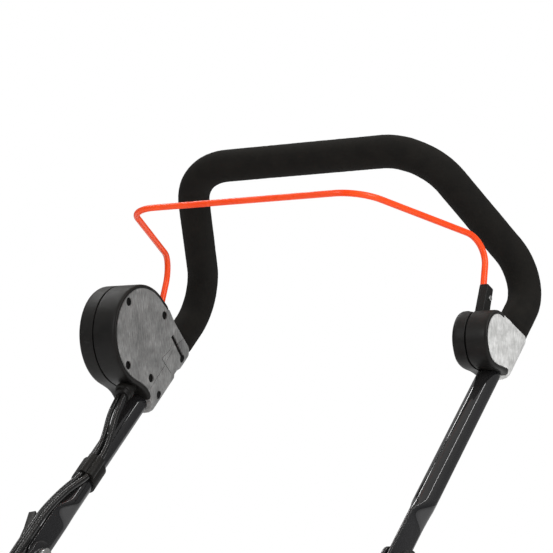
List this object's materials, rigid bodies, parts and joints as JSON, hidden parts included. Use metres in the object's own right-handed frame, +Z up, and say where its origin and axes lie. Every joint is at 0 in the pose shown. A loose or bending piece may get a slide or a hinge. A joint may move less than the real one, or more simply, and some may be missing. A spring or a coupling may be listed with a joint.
{
  "type": "push lawn mower",
  "caption": "Walk-behind electric lawn mower: wheeled deck, motor hood, folding tubular handle with foam grip, squeeze bail, switch drum and cable run.",
  "frame": {"origin": "on the ground, on the blade spindle's axis", "axes": "+Z up, +Y forward in the direction of mowing, +X to the operator's right"},
  "size_m": [0.49, 1.2396, 1.0144],
  "materials": {
    "black_tube": "gloss black powder coat, slightly uneven",
    "orange_coat": "gloss orange powder coat",
    "foam": "matt closed-cell foam skin",
    "black_plastic": "satin moulded black, fine texture",
    "grey_plastic": "fine sprayed texture, mid grey",
    "silver_plastic": "mottled light silver paint",
    "orange_plastic": "gloss moulded orange",
    "cable_rubber": "semi-matt black cable sheath",
    "zinc": "bright zinc plate",
    "black_screw": "black oxide",
    "steel": "ground steel",
    "tyre": "moulded black tread",
    "cast_alloy": "die-cast",
    "brass_pin": "bright",
    "copper_winding": "varnished winding"
  },
  "bodies": {
    "base": {"deck_shell": "orange_plastic", "front_axle": "steel", "rear_axle": "steel", "axle_blocks": "black_plastic", "axle_nuts": "zinc", "handle_brackets": "black_tube", "foot_bolts": "zinc", "deck_bolts": "zinc", "flap_rod": "black_tube", "flap_ears": "zinc", "motor_hood": "orange_plastic", "hood_gland": "black_plastic", "motor_plate": "zinc", "motor_can": "cast_alloy", "motor_stator": "copper_winding", "lower_handle_left": "black_tube", "lower_handle_right": "black_tube", "fold_bolts": "zinc", "cable_clip_lower": "black_plastic", "motor_lead_lower": "cable_rubber", "signal_lead_lower": "cable_rubber"},
    "upper_handle": {"upper_handle_tube": "black_tube", "foam_grip": "foam", "switch_box_inner_shell": "black_plastic", "switch_box_outer_shell": "black_plastic", "switch_box_inner_plate": "grey_plastic", "switch_box_outer_plate": "black_plastic", "pivot_box_inner_shell": "black_plastic", "pivot_box_outer_shell": "black_plastic", "pivot_box_outer_plate": "silver_plastic", "box_screws": "black_screw", "power_inlet": "black_plastic", "inlet_pins": "brass_pin", "micro_switches": "black_plastic", "cable_gland": "black_plastic", "cable_clip_upper": "black_plastic", "motor_lead_upper": "cable_rubber", "signal_lead_upper": "cable_rubber", "bail_pin": "zinc"},
    "bail": {"bail_rod": "orange_coat", "bail_bracket": "black_plastic", "bracket_screw": "zinc", "switch_lever": "black_plastic"},
    "start_button": {"start_button": "orange_plastic"},
    "cam_left": {"cam_lever_left": "black_plastic"},
    "cam_right": {"cam_lever_right": "black_plastic"},
    "blade_drive": {"spindle": "steel", "motor_rotor": "steel", "blade_hub": "cast_alloy", "blade": "steel", "blade_nut": "steel"},
    "flap": {"rear_flap": "black_plastic"},
    "front_left_wheel": {"front_left_tyre": "tyre", "front_left_rim": "grey_plastic"},
    "front_right_wheel": {"front_right_tyre": "tyre", "front_right_rim": "grey_plastic"},
    "rear_left_wheel": {"rear_left_tyre": "tyre", "rear_left_rim": "grey_plastic"},
    "rear_right_wheel": {"rear_right_tyre": "tyre", "rear_right_rim": "grey_plastic"}
  },
  "joints": [
    {"name": "handle_fold", "type": "hinge", "parent": "base", "child": "upper_handle", "pos_m": [0, -0.67366, 0.59269], "axis": [-1, 0, 0], "range_deg": [0, 125]},
    {"name": "bail_squeeze", "type": "hinge", "parent": "upper_handle", "child": "bail", "pos_m": [0, -0.86002, 0.80424], "axis": [1, 0, 0], "range_deg": [0, 30], "stiffness_Nm_per_rad": 0.9, "springref_deg": -34.38},
    {"name": "start_button_press", "type": "slide", "parent": "upper_handle", "child": "start_button", "axis": [-1, 0, 0], "range_m": [0, 0.003], "stiffness_N_per_m": 600, "springref_m": -0.001},
    {"name": "cam_left_open", "type": "hinge", "parent": "base", "child": "cam_left", "pos_m": [-0.21665, -0.67366, 0.59269], "axis": [0, 0.6678, 0.7443], "range_deg": [0, 95]},
    {"name": "cam_right_open", "type": "hinge", "parent": "base", "child": "cam_right", "pos_m": [0.21665, -0.67366, 0.59269], "axis": [0, 0.6678, 0.7443], "range_deg": [0, 95]},
    {"name": "blade_spin", "type": "hinge", "parent": "base", "child": "blade_drive", "pos_m": [0, 0, 0.054], "axis": [0, 0, 1], "continuous": true},
    {"name": "rear_flap_lift", "type": "hinge", "parent": "base", "child": "flap", "pos_m": [0, -0.259, 0.14], "axis": [-1, 0, 0], "range_deg": [0, 75]},
    {"name": "front_left_wheel_roll", "type": "hinge", "parent": "base", "child": "front_left_wheel", "pos_m": [-0.22, 0.19, 0.07], "axis": [-1, 0, 0], "continuous": true},
    {"name": "front_right_wheel_roll", "type": "hinge", "parent": "base", "child": "front_right_wheel", "pos_m": [0.22, 0.19, 0.07], "axis": [-1, 0, 0], "continuous": true},
    {"name": "rear_left_wheel_roll", "type": "hinge", "parent": "base", "child": "rear_left_wheel", "pos_m": [-0.22, -0.205, 0.085], "axis": [-1, 0, 0], "continuous": true},
    {"name": "rear_right_wheel_roll", "type": "hinge", "parent": "base", "child": "rear_right_wheel", "pos_m": [0.22, -0.205, 0.085], "axis": [-1, 0, 0], "continuous": true}
  ]
}
